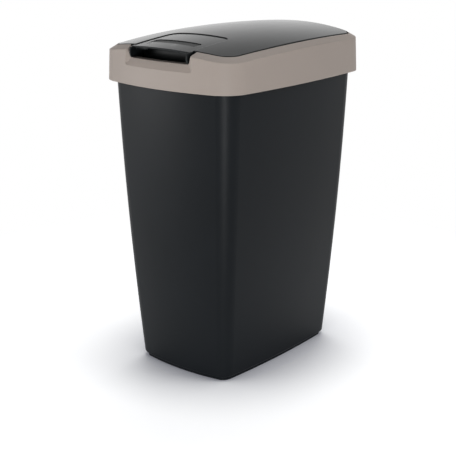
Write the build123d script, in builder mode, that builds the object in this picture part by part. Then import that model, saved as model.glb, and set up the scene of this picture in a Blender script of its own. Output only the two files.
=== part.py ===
from build123d import *
import os
from math import atan, cos, degrees, radians, sin, sqrt, tan

os.makedirs("parts", exist_ok=True)

# Millimetres. X runs across the bin, the front faces -Y, and Z rises from the floor.
# The ring frame's lower edge is the widest outline, and most others are measured inwards from it.
ring_width = 300.0
ring_depth = 404.0
ring_front_bow = 23.0
ring_side_bow = 9.6
ring_corner = 48.0
skirt_bottom = 500.0
skirt_draft = 2.7
lid_top = 580.0

# The crown that the lid and the ring frame share: an arc across, swung along a longer arc
crown_radius_across = 650.0
crown_radius_along = 1880.0
crest_y = 40.0
crown_swing = 10.0

# Walls
ring_wall = 2.2
lid_wall = 2.4
bucket_wall = 2.4

# Ring frame, with distances measured inwards from the outline at the skirt's lower edge
bevel_width = 14.0
bevel_drop = 5.4
recess_inset = 15.4
ledge_drop = 9.0
ledge_width = 6.3
web_thickness = 1.8
web_places_along = (-120.0, -40.0, 40.0, 120.0)
web_places_across = (-100.0, -45.0, 45.0, 100.0)

# Finger notch in the front of the ring frame, and the dished scoop round it
notch_floor = 543.5
notch_half_width = 62.5
notch_flare = 9.0
notch_rise = 19.5
notch_corner = 5.0
scoop_bottom = 531.0
scoop_half_width = 73.0
scoop_end_ramp = 11.0
scoop_depth = 6.0
scoop_corner = 10.0

# Bucket: three outlines, at the foot, half way up and at the rim
base_height = 6.0
base_width = 208.7
base_depth = 313.8
base_front_bow = 11.2
base_side_bow = 6.3
base_corner = 22.7
waist_height = 271.0
waist_width = 247.8
waist_depth = 352.3
waist_front_bow = 15.0
waist_side_bow = 7.4
waist_corner = 28.6
rim_height = 530.0
rim_width = 273.2
rim_depth = 377.2
rim_front_bow = 18.9
rim_side_bow = 8.5
rim_corner = 34.6
base_rounding = 4.5
foot_inset = 5.5
foot_wall = 2.5
flange_inset = 6.2
flange_lip = 8.0

# Lid, with a sunk panel in front and a shallow pocket in the panel
lid_gap = 2.8
lid_seat_gap = 0.3
lid_edge_rounding = 1.5
panel_half_width = 63.0
panel_back = -86.0
panel_corner = 16.0
panel_sink = 1.2
pocket_half_width = 48.5
pocket_back = -140.5
pocket_length = 18.0
pocket_corner = 5.0
pocket_sink = 1.0

# Lip over the finger notch, with a concave grip behind it and a cheek at each end
lip_inset = 9.9
lip_half_width = 63.0
lip_thickness = 2.4
lip_corner = 3.0
cheek_half_width = 62.3
cheek_gap = 0.8
grip_radius = 16.0
grip_centre_inset = 22.0
grip_centre_height = 553.0
grip_bottom = 540.0
grip_swing = 12.0

# Hinge: the axis lies just in front of the lid's back edge, close under the crown
hinge_setback = 14.0
hinge_z = 566.0
pin_radius = 2.0
pin_length = 10.4
pin_chamfer = 0.4
pin_clearance = 0.05
eye_radius = 4.3
bracket_centre_x = 55.0
bracket_width = 5.0
bracket_toe = 8.0
bracket_toe_height = 6.0
bracket_heel = 24.0
knuckle_width = 2.4
knuckle_gap = 0.3
skirt_slot_gap = 0.8
trough_depth = 18.0
trough_reach = 2.0

# What follows from these. A cutting block runs past what it cuts by spare.
spare = 20.0
cut_top = lid_top + spare
throat_inset = recess_inset + ledge_width
lid_inset = recess_inset + lid_gap
hinge_y = ring_depth / 2 - lid_inset - hinge_setback
trough_floor = hinge_z - trough_depth
front_bow_radius = ((ring_width / 2 - ring_side_bow) ** 2 + ring_front_bow ** 2) / (2 * ring_front_bow)
front_bow_centre = (0, front_bow_radius - ring_depth / 2, 0)


def front_place(x, inset):
    """How far along Y the bowed front lies at x, moved inwards by inset."""
    return front_bow_centre[1] - sqrt((front_bow_radius - inset) ** 2 - x ** 2)


def bowed_outline(width, depth, front_bow, side_bow, corner, inset, height):
    """A rounded rectangle whose four sides bow outwards, moved inwards by inset, at a height."""
    corner_x = width / 2 - side_bow
    corner_y = depth / 2 - front_bow
    with BuildSketch(Plane.XY.offset(height)) as outline:
        with BuildLine():
            ThreePointArc((-corner_x, -corner_y), (0, -depth / 2), (corner_x, -corner_y))
            ThreePointArc((corner_x, -corner_y), (width / 2, 0), (corner_x, corner_y))
            ThreePointArc((corner_x, corner_y), (0, depth / 2), (-corner_x, corner_y))
            ThreePointArc((-corner_x, corner_y), (-width / 2, 0), (-corner_x, -corner_y))
        make_face()
        fillet(outline.vertices(), corner)
        if inset:
            offset(amount=-inset)
    return outline.sketch


def ring_outline(inset, height):
    """The ring frame's outline at the skirt's lower edge, moved inwards."""
    return bowed_outline(ring_width, ring_depth, ring_front_bow, ring_side_bow, ring_corner, inset, height)


def under_crown(drop):
    """The space under the crown lowered by drop: an arc across the bin, swung along it."""
    pivot = (0, crest_y, lid_top - crown_radius_along)
    lean = radians(crown_swing)
    section_plane = Plane(origin=pivot, x_dir=(1, 0, 0), z_dir=(0, -cos(lean), sin(lean)))
    with BuildPart() as block:
        with BuildSketch(section_plane):
            with Locations((0, crown_radius_along - crown_radius_across)):
                Circle(crown_radius_across - drop)
            with Locations((0, crown_radius_along + 1)):
                Rectangle(
                    ring_width + 2 * spare,
                    2 * (cut_top - skirt_bottom),
                    align=(Align.CENTER, Align.MAX),
                    mode=Mode.INTERSECT,
                )
        revolve(axis=Axis(pivot, (1, 0, 0)), revolution_arc=2 * crown_swing)
    return block.part


def outline_prism(inset, bottom, top):
    """An upright block with the ring frame's outline."""
    with BuildPart() as block:
        extrude(ring_outline(inset, bottom), amount=top - bottom)
    return block.part


def above_crown(inset, drop, bottom):
    """An upright block with the ring frame's outline, from the lowered crown upwards."""
    with BuildPart() as block:
        add(outline_prism(inset, bottom, cut_top))
        add(under_crown(drop), mode=Mode.SUBTRACT)
    return block.part


def frame_form(inset):
    """The ring frame's outer form, or its hollow: a drafted skirt, the crown and the bevel between them."""
    with BuildPart() as form:
        extrude(ring_outline(inset, skirt_bottom), amount=cut_top - skirt_bottom, taper=skirt_draft)
        add(under_crown(inset), mode=Mode.INTERSECT)
        crown_face = form.faces().filter_by(GeomType.TORUS).sort_by(SortBy.AREA)[-1]
        chamfer(crown_face.edges(), bevel_width, bevel_drop, reference=crown_face)
    return form.part


def notch_block(growth):
    """The finger notch, seen from the front as a tray that widens upwards, cut through to the throat."""
    slope = notch_flare / notch_rise
    floor = notch_floor - growth
    half_floor = notch_half_width + growth
    half_top = half_floor + slope * (cut_top - floor)
    with BuildPart() as block:
        with BuildSketch(Plane.XZ.offset(ring_depth / 2 + spare)) as front_view:
            with BuildLine():
                Polyline(
                    (-half_floor, floor),
                    (half_floor, floor),
                    (half_top, cut_top),
                    (-half_top, cut_top),
                    close=True,
                )
            make_face()
            fillet(front_view.vertices().group_by(Axis.Z)[0], notch_corner + growth)
        extrude(amount=-(spare + throat_inset + ring_front_bow - growth))
    return block.part


def scoop_block(growth):
    """The dish round the notch: its ramps start flush with the skirt and are deepest at the notch's edge."""
    start_inset = growth + (scoop_bottom - skirt_bottom) * tan(radians(skirt_draft))
    lean = degrees(atan(scoop_depth / (notch_floor - scoop_bottom)))
    ramp_foot = front_place(scoop_half_width, start_inset)
    ramp_head = front_place(scoop_half_width - scoop_end_ramp, start_inset + scoop_depth)
    far_front = -ring_depth / 2 - spare
    far_half_width = scoop_half_width + (ramp_foot - far_front) * scoop_end_ramp / (ramp_head - ramp_foot)
    near_half_width = scoop_half_width - scoop_end_ramp
    with BuildPart() as block:
        with BuildSketch(Plane.XZ.offset(ring_depth / 2 + spare)) as front_view:
            with Locations((0, scoop_bottom - growth)):
                Rectangle(
                    2 * (scoop_half_width + growth + 1),
                    cut_top - scoop_bottom,
                    align=(Align.CENTER, Align.MIN),
                )
            fillet(front_view.vertices().group_by(Axis.Z)[0], scoop_corner)
        extrude(amount=-(spare + throat_inset))
        with BuildSketch(Plane.XY.offset(skirt_bottom)):
            with BuildLine():
                Polyline(
                    (-far_half_width, far_front),
                    (-near_half_width, ramp_head),
                    (-near_half_width, 0),
                    (near_half_width, 0),
                    (near_half_width, ramp_head),
                    (far_half_width, far_front),
                    close=True,
                )
            make_face()
        extrude(amount=cut_top - skirt_bottom, mode=Mode.INTERSECT)
        sloping = ring_outline(start_inset, scoop_bottom - growth)
        extrude(sloping, amount=cut_top - scoop_bottom, taper=lean, mode=Mode.SUBTRACT)
    return block.part


def trough_block(growth):
    """Room at the back for the lid's tail to swing down in: the recess, carried down to the trough's floor."""
    with BuildPart() as block:
        add(outline_prism(recess_inset - growth, trough_floor - growth, cut_top))
        with Locations((0, hinge_y - trough_reach - growth, skirt_bottom)):
            Box(
                ring_width,
                ring_depth,
                cut_top - skirt_bottom,
                align=(Align.CENTER, Align.MIN, Align.MIN),
                mode=Mode.INTERSECT,
            )
    return block.part


def sunk_block(half_width, front, back, corner, sink):
    """A rounded tray that is cut into the lid's top and follows its crown."""
    with BuildPart() as block:
        with BuildSketch(Plane.XY.offset(skirt_bottom)) as plan:
            with Locations((0, back)):
                Rectangle(2 * half_width, back - front, align=(Align.CENTER, Align.MAX))
            fillet(plan.vertices().group_by(Axis.Y)[-1], corner)
        extrude(amount=cut_top - skirt_bottom)
        add(under_crown(sink), mode=Mode.SUBTRACT)
    return block.part


def panel_block(growth):
    """The sunk panel, open towards the lid's front edge."""
    return sunk_block(
        panel_half_width + growth,
        -ring_depth / 2 - spare,
        panel_back + growth,
        panel_corner + growth,
        panel_sink + growth,
    )


def pocket_block(growth):
    """The shallow pocket in the sunk panel."""
    return sunk_block(
        pocket_half_width + growth,
        pocket_back - pocket_length - growth,
        pocket_back + growth,
        pocket_corner + growth,
        panel_sink + pocket_sink + growth,
    )


# The ring frame's hollow underside, as one solid. What it leaves are walls, the notch's lining and the webs.
with BuildPart() as frame_hollow:
    add(frame_form(ring_wall))
    add(above_crown(recess_inset - ring_wall, ledge_drop + ring_wall, skirt_bottom), mode=Mode.SUBTRACT)
    add(outline_prism(throat_inset - ring_wall, skirt_bottom, cut_top), mode=Mode.SUBTRACT)
    add(trough_block(ring_wall), mode=Mode.SUBTRACT)
    add(notch_block(ring_wall), mode=Mode.SUBTRACT)
    add(scoop_block(ring_wall), mode=Mode.SUBTRACT)
    with Locations([(0, place, rim_height) for place in web_places_along]):
        Box(
            ring_width,
            web_thickness,
            cut_top - rim_height,
            align=(Align.CENTER, Align.CENTER, Align.MIN),
            mode=Mode.SUBTRACT,
        )
    with Locations([(place, 0, rim_height) for place in web_places_across]):
        Box(
            web_thickness,
            ring_depth,
            cut_top - rim_height,
            align=(Align.CENTER, Align.CENTER, Align.MIN),
            mode=Mode.SUBTRACT,
        )

# The two brackets that carry the hinge pins. Each stands on the throat's back wall and leans forward,
# so that the open lid stops against it.
with BuildPart() as brackets:
    with BuildSketch(Plane.YZ.offset(bracket_centre_x - bracket_width / 2)):
        with BuildLine():
            Polyline(
                (hinge_y - eye_radius, hinge_z),
                (hinge_y - bracket_toe, trough_floor),
                (hinge_y - bracket_toe, trough_floor - bracket_toe_height),
                (ring_depth / 2, trough_floor - bracket_heel),
                (ring_depth / 2, trough_floor),
                (hinge_y, trough_floor),
                (hinge_y + eye_radius, hinge_z),
                close=True,
            )
        make_face()
        with Locations((hinge_y, hinge_z)):
            Circle(eye_radius)
    extrude(amount=bracket_width)
    mirror(about=Plane.YZ)
    add(outline_prism(throat_inset - ring_wall / 2, skirt_bottom, lid_top), mode=Mode.INTERSECT)

# Ring frame
with BuildPart() as ring_frame:
    add(frame_form(0))
    add(frame_hollow.part, mode=Mode.SUBTRACT)
    add(above_crown(recess_inset, ledge_drop, skirt_bottom), mode=Mode.SUBTRACT)
    add(outline_prism(throat_inset, skirt_bottom, cut_top), mode=Mode.SUBTRACT)
    add(trough_block(0), mode=Mode.SUBTRACT)
    add(notch_block(0), mode=Mode.SUBTRACT)
    add(scoop_block(0), mode=Mode.SUBTRACT)
    add(brackets.part)
    with Locations(Location((0, hinge_y, hinge_z), (0, 90, 0))):
        Cylinder(pin_radius, ring_width / 2, mode=Mode.SUBTRACT)


def bucket_outlines(inset, lowest):
    """The bucket's outlines at the foot, half way up and at the rim, moved inwards."""
    return [
        bowed_outline(base_width, base_depth, base_front_bow, base_side_bow, base_corner, inset, lowest),
        bowed_outline(waist_width, waist_depth, waist_front_bow, waist_side_bow, waist_corner, inset, waist_height),
        bowed_outline(rim_width, rim_depth, rim_front_bow, rim_side_bow, rim_corner, inset, rim_height),
    ]


def foot_outline(inset):
    """The outline of the foot rim that the bin stands on."""
    return bowed_outline(base_width, base_depth, base_front_bow, base_side_bow, base_corner, inset, 0)


# The bucket's rim turns outwards and down, and the bag is folded over it
with BuildPart() as bucket_rim:
    extrude(ring_outline(flange_inset, rim_height - flange_lip), amount=flange_lip)
    extrude(
        ring_outline(flange_inset + bucket_wall, rim_height - flange_lip),
        amount=flange_lip - bucket_wall,
        mode=Mode.SUBTRACT,
    )

# Bucket: the outside is lofted through three outlines, and the inside through the same three moved inwards
with BuildPart() as bucket:
    loft(bucket_outlines(0, base_height))
    fillet(bucket.faces().sort_by(Axis.Z)[0].edges(), base_rounding)
    add(bucket_rim.part)
    extrude(foot_outline(foot_inset), amount=base_height)
    loft(bucket_outlines(bucket_wall, base_height + bucket_wall), mode=Mode.SUBTRACT)
    extrude(foot_outline(foot_inset + foot_wall), amount=base_height, mode=Mode.SUBTRACT)

# The grip behind the lid's lip: a concave wall that follows the bowed front, with a cheek at each end.
# Both are swung about the upright axis through the centre of the front's bow.
bow_axis = Axis(front_bow_centre, (0, 0, 1))
swing_start = radians(-grip_swing)
grip_plane = Plane(
    origin=front_bow_centre,
    x_dir=(sin(swing_start), -cos(swing_start), 0),
    z_dir=(-cos(swing_start), -sin(swing_start), 0),
)
grip_centre = (front_bow_radius - grip_centre_inset, grip_centre_height)

with BuildPart() as grip_wall:
    with BuildSketch(grip_plane):
        with Locations(grip_centre):
            Circle(grip_radius + lid_wall)
            Circle(grip_radius, mode=Mode.SUBTRACT)
        with Locations((grip_centre[0], grip_bottom)):
            Rectangle(2 * grip_radius, 2 * grip_radius + spare, align=(Align.MAX, Align.MIN), mode=Mode.INTERSECT)
    revolve(axis=bow_axis, revolution_arc=2 * grip_swing)
    Box(2 * cheek_half_width, ring_depth, 2 * lid_top, mode=Mode.INTERSECT)

with BuildPart() as grip_cheeks:
    with BuildSketch(grip_plane):
        with Locations(grip_centre):
            Circle(grip_radius + lid_wall)
        with Locations((grip_centre[0], grip_bottom)):
            Rectangle(
                2 * (grip_centre_inset - lip_inset),
                2 * grip_radius + spare,
                align=(Align.CENTER, Align.MIN),
            )
    revolve(axis=bow_axis, revolution_arc=2 * grip_swing)
    Box(2 * cheek_half_width, ring_depth, 2 * lid_top, mode=Mode.INTERSECT)
    Box(2 * (cheek_half_width - lid_wall), ring_depth, 2 * lid_top, mode=Mode.SUBTRACT)
    add(notch_block(-cheek_gap), mode=Mode.INTERSECT)

# The lip itself: the sunk panel, carried forward over the notch
with BuildPart() as lip:
    with BuildSketch(Plane.XY.offset(skirt_bottom)) as lip_plan:
        add(ring_outline(lip_inset, skirt_bottom))
        with Locations((0, -ring_depth / 2)):
            Rectangle(2 * lip_half_width, 2 * grip_centre_inset, mode=Mode.INTERSECT)
        fillet(lip_plan.vertices().group_by(Axis.Y)[0], lip_corner)
    extrude(amount=lid_top - skirt_bottom)
    add(under_crown(panel_sink), mode=Mode.INTERSECT)
    add(under_crown(panel_sink + lip_thickness), mode=Mode.SUBTRACT)

# The lid's knuckles: two each side, one at either face of a bracket
with BuildPart() as knuckles:
    for side in (-1, 1):
        knuckle_x = bracket_centre_x + side * (bracket_width / 2 + knuckle_gap + knuckle_width / 2)
        with BuildSketch(Plane.YZ.offset(knuckle_x - knuckle_width / 2)):
            with Locations((hinge_y, hinge_z)):
                Circle(eye_radius)
                Rectangle(2 * eye_radius, lid_top - hinge_z, align=(Align.CENTER, Align.MIN))
        extrude(amount=knuckle_width)
    mirror(about=Plane.YZ)
    with Locations(Location((0, hinge_y, hinge_z), (0, 90, 0))):
        Cylinder(pin_radius + pin_clearance, ring_width / 2, mode=Mode.SUBTRACT)

# The room under the lid, inside its skirt, which keeps a wall under the sunk panel and its pocket
with BuildPart() as lid_hollow:
    add(outline_prism(lid_inset + lid_wall, skirt_bottom, lid_top))
    add(under_crown(lid_wall), mode=Mode.INTERSECT)
    add(panel_block(lid_wall), mode=Mode.SUBTRACT)
    add(pocket_block(lid_wall), mode=Mode.SUBTRACT)

# Slots in the lid's back skirt, where it swings down past the brackets
with BuildPart() as skirt_slots:
    with Locations((-bracket_centre_x, hinge_y, skirt_bottom), (bracket_centre_x, hinge_y, skirt_bottom)):
        Box(
            bracket_width + 2 * skirt_slot_gap,
            2 * hinge_setback,
            lid_top - skirt_bottom,
            align=(Align.CENTER, Align.MIN, Align.MIN),
        )
    add(under_crown(lid_wall), mode=Mode.INTERSECT)

# What joins the lid from below, cut off inside its top wall
with BuildPart() as lid_fittings:
    add(grip_wall.part)
    add(grip_cheeks.part)
    add(under_crown(panel_sink + lid_wall / 2), mode=Mode.INTERSECT)

with BuildPart() as lid_knuckles:
    add(knuckles.part)
    add(under_crown(lid_wall / 2), mode=Mode.INTERSECT)

# Room for the fingers under the lip, in front of the grip wall
with BuildPart() as lip_room:
    add(outline_prism(lid_inset - lid_gap, skirt_bottom, lid_top))
    with Locations((0, -ring_depth / 2, 0)):
        Box(2 * cheek_half_width, 2 * grip_centre_inset, 2 * lid_top, mode=Mode.INTERSECT)
    add(under_crown(panel_sink + lip_thickness), mode=Mode.INTERSECT)

with BuildPart() as lid:
    add(outline_prism(lid_inset, skirt_bottom, cut_top))
    add(under_crown(0), mode=Mode.INTERSECT)
    crown_face = lid.faces().filter_by(GeomType.TORUS).sort_by(SortBy.AREA)[-1]
    fillet(crown_face.edges(), lid_edge_rounding)
    add(under_crown(ledge_drop - lid_seat_gap), mode=Mode.SUBTRACT)
    add(lid_hollow.part, mode=Mode.SUBTRACT)
    add(panel_block(0), mode=Mode.SUBTRACT)
    add(pocket_block(0), mode=Mode.SUBTRACT)
    add(lip_room.part, mode=Mode.SUBTRACT)
    add(skirt_slots.part, mode=Mode.SUBTRACT)
    add(lip.part)
    add(lid_fittings.part)
    add(lid_knuckles.part)


def hinge_pin(centre_x):
    """A short plain pin along the hinge axis, pressed into its bracket."""
    with BuildPart() as pin:
        with Locations(Location((centre_x, hinge_y, hinge_z), (0, 90, 0))):
            Cylinder(pin_radius, pin_length)
        chamfer(pin.faces().filter_by(GeomType.PLANE).edges(), pin_chamfer)
    return pin.part


pin_left = hinge_pin(-bracket_centre_x)
pin_right = hinge_pin(bracket_centre_x)

for piece, name in (
    (bucket.part, "bucket"),
    (ring_frame.part, "ring_frame"),
    (lid.part, "lid"),
    (pin_left, "hinge_pin_left"),
    (pin_right, "hinge_pin_right"),
):
    piece.label = name
    export_step(piece, "parts/" + name + ".step")
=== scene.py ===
from math import cos, radians, sin

import bmesh
import bpy
from mathutils import Matrix, Vector


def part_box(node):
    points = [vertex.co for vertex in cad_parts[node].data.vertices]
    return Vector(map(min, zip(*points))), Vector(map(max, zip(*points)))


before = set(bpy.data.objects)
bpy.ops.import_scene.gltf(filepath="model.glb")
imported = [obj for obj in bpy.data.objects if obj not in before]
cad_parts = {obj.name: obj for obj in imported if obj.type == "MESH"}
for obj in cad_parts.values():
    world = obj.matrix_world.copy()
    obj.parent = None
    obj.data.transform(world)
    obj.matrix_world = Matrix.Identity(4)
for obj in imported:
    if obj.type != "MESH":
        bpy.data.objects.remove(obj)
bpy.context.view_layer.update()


# The bucket: a tall tapering tub that holds the bag, and stands on a narrow foot rim.
# It is black polypropylene, injection moulded in one shot against a lightly eroded mould wall,
# which leaves an even satin that shows broad, soft highlights.
def linear(colour):
    """An sRGB hex colour as linear red, green, blue and alpha."""
    parts = [int(colour[place:place + 2], 16) / 255 for place in (0, 2, 4)]
    return [c / 12.92 if c <= 0.04045 else ((c + 0.055) / 1.055) ** 2.4 for c in parts] + [1.0]


def add_node(tree, kind, inputs, **settings):
    """Adds a node with its settings, and fills its inputs with values or with links from other nodes."""
    made = tree.nodes.new(kind)
    for name, value in settings.items():
        setattr(made, name, value)
    for name, value in inputs.items():
        if isinstance(value, bpy.types.NodeSocket):
            tree.links.new(value, made.inputs[name])
        else:
            made.inputs[name].default_value = value
    return made


def new_material(name):
    """An empty material and its node tree, ready for a surface."""
    material = bpy.data.materials.new(name)
    material.use_nodes = True
    material.node_tree.nodes.clear()
    return material, material.node_tree


def moulded_plastic(name, colour, rubbed_colour, roughness, mirror, grain, grain_depth, mottle, edge_radius):
    """Moulded plastic: slightly uneven pigment and sheen, a mould grain, and softened, rubbed edges.
    grain, grain_depth and edge_radius are in metres, and mottle is the pigment's share of unevenness."""
    flow_length = 0.18
    flow_low = 0.3
    flow_high = 0.7
    sheen_swing = 0.03
    barely_turned = 0.995
    fully_turned = 0.86
    material, tree = new_material(name)
    place = add_node(tree, "ShaderNodeTexCoord", {}).outputs["Object"]
    flow = add_node(tree, "ShaderNodeTexNoise",
                    {"Vector": place, "Scale": 1 / flow_length, "Detail": 3.0}).outputs["Fac"]
    speck = add_node(tree, "ShaderNodeTexNoise",
                     {"Vector": place, "Scale": 1 / grain, "Detail": 2.0}).outputs["Fac"]
    rounded = add_node(tree, "ShaderNodeBevel", {"Radius": edge_radius}, samples=6).outputs["Normal"]
    flat = add_node(tree, "ShaderNodeNewGeometry", {}).outputs["Normal"]
    turned = add_node(tree, "ShaderNodeVectorMath", {0: rounded, 1: flat},
                      operation="DOT_PRODUCT").outputs["Value"]
    edge = add_node(tree, "ShaderNodeMapRange",
                    {"Value": turned, "From Min": barely_turned, "From Max": fully_turned}).outputs["Result"]
    rubbed = add_node(tree, "ShaderNodeMath", {0: edge, 1: flow}, operation="MULTIPLY").outputs["Value"]
    tint = add_node(tree, "ShaderNodeMapRange",
                    {"Value": flow, "From Min": flow_low, "From Max": flow_high,
                     "To Min": 1 - mottle, "To Max": 1 + mottle}).outputs["Result"]
    pigment = add_node(tree, "ShaderNodeVectorMath", {0: linear(colour)[:3], "Scale": tint},
                       operation="SCALE").outputs["Vector"]
    shown = add_node(tree, "ShaderNodeMix", {0: rubbed, 6: pigment, 7: linear(rubbed_colour)},
                     data_type="RGBA").outputs[2]
    sheen = add_node(tree, "ShaderNodeMapRange",
                     {"Value": flow, "From Min": flow_low, "From Max": flow_high,
                      "To Min": roughness - sheen_swing, "To Max": roughness + sheen_swing}).outputs["Result"]
    bump = add_node(tree, "ShaderNodeBump",
                    {"Height": speck, "Distance": grain_depth, "Strength": 1.0,
                     "Normal": rounded}).outputs["Normal"]
    shader = add_node(tree, "ShaderNodeBsdfPrincipled",
                      {"Base Color": shown, "Roughness": sheen, "Normal": bump, "IOR": 1.49,
                       "Specular IOR Level": mirror}).outputs["BSDF"]
    add_node(tree, "ShaderNodeOutputMaterial", {"Surface": shader})
    return material


def finish_node(name, material):
    """Gives a carried-over CAD node its material."""
    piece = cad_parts[name]
    piece.data.materials.clear()
    piece.data.materials.append(material)


# The real grain is about 0.1 mm, too fine to show at this size, so it is drawn 1.2 mm wide.
satin_grain = 0.0012
satin_depth = 0.00004
bucket_plastic = moulded_plastic("black_polypropylene_satin_moulded", "131619", "2A2C2E",
                                 roughness=0.42, mirror=0.1, grain=satin_grain, grain_depth=satin_depth,
                                 mottle=0.12, edge_radius=0.0015)
finish_node("bucket", bucket_plastic)


# The ring frame: it drops over the bucket's rim, grips the bag and carries the lid's hinge.
# It is taupe polypropylene, moulded with the same fine grain but more matt, so it spreads
# the light evenly, and its edges are softly rounded.
frame_plastic = moulded_plastic("taupe_polypropylene_matt_moulded", "9F948C", "B9AFA6",
                                roughness=0.5, mirror=0.25, grain=satin_grain, grain_depth=satin_depth,
                                mottle=0.03, edge_radius=0.0025)
finish_node("ring_frame", frame_plastic)


# The lid: a crowned flap with a sunk panel and a lip over the finger notch.
# It is anthracite polypropylene from a mould that is polished on top only, so the top mirrors
# the room softly, while the grip, the underside and the small pocket have an eroded, matt grain.
lid_plastic = moulded_plastic("anthracite_polypropylene_polished", "101314", "35383A",
                              roughness=0.16, mirror=0.16, grain=0.002, grain_depth=0.00001,
                              mottle=0.12, edge_radius=0.0015)
finish_node("lid", lid_plastic)

matt_roughness = 0.5
steep_face = 0.5
level_face = 0.8
pocket_half_width = 0.0485
pocket_half_length = 0.009
pocket_setback = 0.0426
pocket_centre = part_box("lid")[0].y + pocket_setback
lid_tree = lid_plastic.node_tree
lid_shader = lid_tree.nodes["Principled BSDF"]
lid_place = lid_tree.nodes["Texture Coordinate"]
polished = lid_shader.inputs["Roughness"].links[0].from_socket
upward = add_node(lid_tree, "ShaderNodeSeparateXYZ", {"Vector": lid_place.outputs["Normal"]}).outputs["Z"]
topside = add_node(lid_tree, "ShaderNodeMapRange",
                   {"Value": upward, "From Min": steep_face, "From Max": level_face,
                    "To Min": matt_roughness, "To Max": polished}).outputs["Result"]
spot = add_node(lid_tree, "ShaderNodeSeparateXYZ", {"Vector": lid_place.outputs["Object"]})
within_width = add_node(lid_tree, "ShaderNodeMath", {0: spot.outputs["X"], 1: 0.0, 2: pocket_half_width},
                        operation="COMPARE").outputs["Value"]
within_length = add_node(lid_tree, "ShaderNodeMath",
                         {0: spot.outputs["Y"], 1: pocket_centre, 2: pocket_half_length},
                         operation="COMPARE").outputs["Value"]
in_pocket = add_node(lid_tree, "ShaderNodeMath", {0: within_width, 1: within_length},
                     operation="MULTIPLY").outputs["Value"]
pocket_matt = add_node(lid_tree, "ShaderNodeMath", {0: in_pocket, 1: matt_roughness},
                       operation="MULTIPLY").outputs["Value"]
lid_sheen = add_node(lid_tree, "ShaderNodeMath", {0: topside, 1: pocket_matt},
                     operation="MAXIMUM").outputs["Value"]
lid_tree.links.new(lid_sheen, lid_shader.inputs["Roughness"])


# The hinge pins: two short plain pins, pressed into the ring frame's brackets.
# They are black acetal, moulded smooth so that the lid's knuckles run freely, which gives
# them a soft shine.
pin_plastic = moulded_plastic("black_acetal_smooth", "1C1D1E", "3A3D3F",
                              roughness=0.3, mirror=0.5, grain=0.0008, grain_depth=0.00001,
                              mottle=0.12, edge_radius=0.0003)
for pin_name in ("hinge_pin_left", "hinge_pin_right"):
    finish_node(pin_name, pin_plastic)


# The floor: a plain white studio table, which keeps the bin's soft shadow.
# It is matt card, lit by the lamps, that also glows to white where nothing stands near. Towards what
# stands on it the glow darkens, a little bluish: a painted contact shadow on top of the lamps' real one.
floor_radius = 6.0
shadow_reach = 0.16
shadow_floor = 0.48
glow_strength = 0.62
fade_start = 0.5
fade_end = 0.9
fibre_clump = 0.025
floor_mesh = bpy.data.meshes.new("studio_floor")
shape = bmesh.new()
bmesh.ops.create_circle(shape, cap_ends=True, segments=96, radius=floor_radius)
shape.to_mesh(floor_mesh)
shape.free()
floor = bpy.data.objects.new("studio_floor", floor_mesh)
bpy.context.scene.collection.objects.link(floor)
floor_card, tree = new_material("white_studio_card")
light_path = add_node(tree, "ShaderNodeLightPath", {})
seen = add_node(tree, "ShaderNodeMath",
                {0: light_path.outputs["Is Camera Ray"], 1: light_path.outputs["Is Glossy Ray"]},
                operation="MAXIMUM").outputs["Value"]
place = add_node(tree, "ShaderNodeTexCoord", {}).outputs["Object"]
away = add_node(tree, "ShaderNodeVectorMath", {0: place}, operation="LENGTH").outputs["Value"]
fade = add_node(tree, "ShaderNodeMapRange",
                {"Value": away, "From Min": fade_start, "From Max": fade_end},
                interpolation_type="SMOOTHSTEP").outputs["Result"]
fibre = add_node(tree, "ShaderNodeTexNoise",
                 {"Vector": place, "Scale": 1 / fibre_clump, "Detail": 3.0}).outputs["Fac"]
card_colour = add_node(tree, "ShaderNodeMix", {0: fibre, 6: linear("E6E7E9"), 7: linear("ECEDEE")},
                       data_type="RGBA").outputs[2]
card = add_node(tree, "ShaderNodeBsdfDiffuse", {"Color": card_colour}).outputs["BSDF"]
# Painted shadow: an ambient occlusion node darkens the glow, a little bluish, near the bin. Camera and
# reflections both see it.
open_share = add_node(tree, "ShaderNodeAmbientOcclusion", {"Distance": shadow_reach},
                      samples=16).outputs["AO"]
unshadowed_share = add_node(tree, "ShaderNodeMapRange",
                {"Value": open_share, "From Min": shadow_floor, "From Max": 1.0}).outputs["Result"]
painted_shadow_colour = add_node(tree, "ShaderNodeMix", {0: unshadowed_share, 6: linear("50505C"), 7: linear("FFFFFF")},
                       data_type="RGBA").outputs[2]
glow_with_painted_shadow = add_node(tree, "ShaderNodeEmission",
                {"Color": painted_shadow_colour, "Strength": glow_strength}).outputs["Emission"]
lit_card = add_node(tree, "ShaderNodeAddShader", {0: card, 1: glow_with_painted_shadow}).outputs["Shader"]
white = add_node(tree, "ShaderNodeEmission", {"Color": linear("FFFFFF"), "Strength": 1.0}).outputs["Emission"]
seen_card = add_node(tree, "ShaderNodeMixShader", {0: fade, 1: lit_card, 2: white}).outputs["Shader"]
surface = add_node(tree, "ShaderNodeMixShader", {0: seen, 1: card, 2: seen_card}).outputs["Shader"]
add_node(tree, "ShaderNodeOutputMaterial", {"Surface": surface})
floor.data.materials.append(floor_card)


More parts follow.
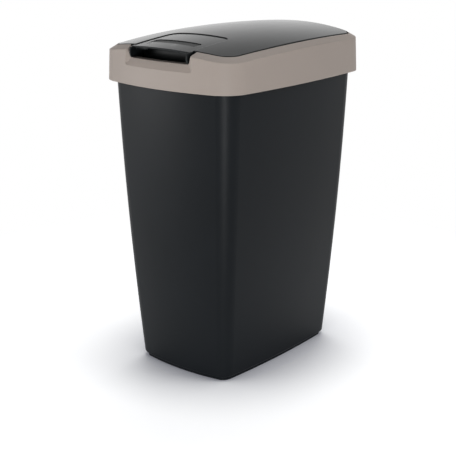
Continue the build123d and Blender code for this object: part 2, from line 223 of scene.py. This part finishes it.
# The room: a white studio. The camera sees plain white, and reflections see white that turns
# greyer overhead. The light that the room casts is lower, so that colours render as written.
room_light = 0.3
ceiling_start = 0.15
ceiling_end = 0.6
ceiling_white = 0.55
world = bpy.data.worlds.new("studio_room")
bpy.context.scene.world = world
world.use_nodes = True
room = world.node_tree
room.nodes.clear()
ray = add_node(room, "ShaderNodeLightPath", {})
sees = add_node(room, "ShaderNodeMath", {0: ray.outputs["Is Camera Ray"], 1: ray.outputs["Is Glossy Ray"]},
                operation="MAXIMUM").outputs["Value"]
sees_through = add_node(room, "ShaderNodeMath", {0: sees, 1: ray.outputs["Is Transmission Ray"]},
                        operation="MAXIMUM").outputs["Value"]
direction = add_node(room, "ShaderNodeTexCoord", {}).outputs["Generated"]
rise = add_node(room, "ShaderNodeSeparateXYZ", {"Vector": direction}).outputs["Z"]
ceiling = add_node(room, "ShaderNodeMapRange",
                   {"Value": rise, "From Min": ceiling_start, "From Max": ceiling_end,
                    "To Min": 1.0, "To Max": ceiling_white},
                   interpolation_type="SMOOTHSTEP").outputs["Result"]
level = add_node(room, "ShaderNodeMath", {0: ceiling, 1: ray.outputs["Is Camera Ray"]},
                 operation="MAXIMUM").outputs["Value"]
fill = add_node(room, "ShaderNodeBackground",
                {"Color": linear("F4F6FA"), "Strength": room_light}).outputs["Background"]
backdrop = add_node(room, "ShaderNodeBackground",
                    {"Color": linear("FFFFFF"), "Strength": level}).outputs["Background"]
both = add_node(room, "ShaderNodeMixShader", {0: sees_through, 1: fill, 2: backdrop}).outputs["Shader"]
add_node(room, "ShaderNodeOutputWorld", {"Surface": both})


# The lamps: two low, long soft boxes light the front and the near corner and make their satin
# highlights, one fills the right side, and one high behind lays the shadow in front of the bin.
lamp_aim = Vector((0, 0, 0.3))


def towards(azimuth, elevation):
    """The direction from the bin to a lamp or camera. Azimuth 0 is straight in front, and 90 its right."""
    return Vector((sin(radians(azimuth)) * cos(radians(elevation)),
                   -cos(radians(azimuth)) * cos(radians(elevation)),
                   sin(radians(elevation))))


def looking_from(away, distance, aim):
    """Where a lamp or camera stands, that far from its aim, turned to look at it."""
    return Matrix.Translation(aim + distance * away) @ away.to_track_quat("Z", "Y").to_matrix().to_4x4()


def soft_box(name, azimuth, elevation, distance, width, height, power):
    """A rectangular area lamp that looks at the bin's middle from a direction round it."""
    lamp = bpy.data.lights.new(name, "AREA")
    lamp.shape = "RECTANGLE"
    lamp.size = width
    lamp.size_y = height
    lamp.energy = power
    holder = bpy.data.objects.new(name, lamp)
    holder.matrix_world = looking_from(towards(azimuth, elevation), distance, lamp_aim)
    bpy.context.scene.collection.objects.link(holder)


soft_box("left_box", azimuth=-42, elevation=-2, distance=2.4, width=1.3, height=0.36, power=19.0)
soft_box("corner_box", azimuth=38, elevation=-5, distance=1.9, width=0.5, height=0.22, power=15.5)
soft_box("right_box", azimuth=115, elevation=32, distance=2.6, width=1.2, height=1.2, power=14.0)
soft_box("back_box", azimuth=215, elevation=62, distance=2.4, width=1.4, height=1.4, power=18.0)


# The camera: a little above the lid, looking down at the bin's front right corner.
camera_azimuth = 39.5
camera_elevation = 17.0
camera_distance = 1.98
camera_aim = Vector((0, 0, 0.2221))
photo_size = 456.0
focal_pixels = 1103.6
centre_pixel_x = 235.7
lens = bpy.data.cameras.new("camera")
lens.sensor_width = 36.0
lens.lens = focal_pixels / photo_size * lens.sensor_width
lens.shift_x = (photo_size / 2 - centre_pixel_x) / photo_size
camera = bpy.data.objects.new("camera", lens)
camera.matrix_world = looking_from(towards(camera_azimuth, camera_elevation), camera_distance, camera_aim)
bpy.context.scene.collection.objects.link(camera)
bpy.context.scene.camera = camera
bpy.context.scene.view_settings.view_transform = "Standard"
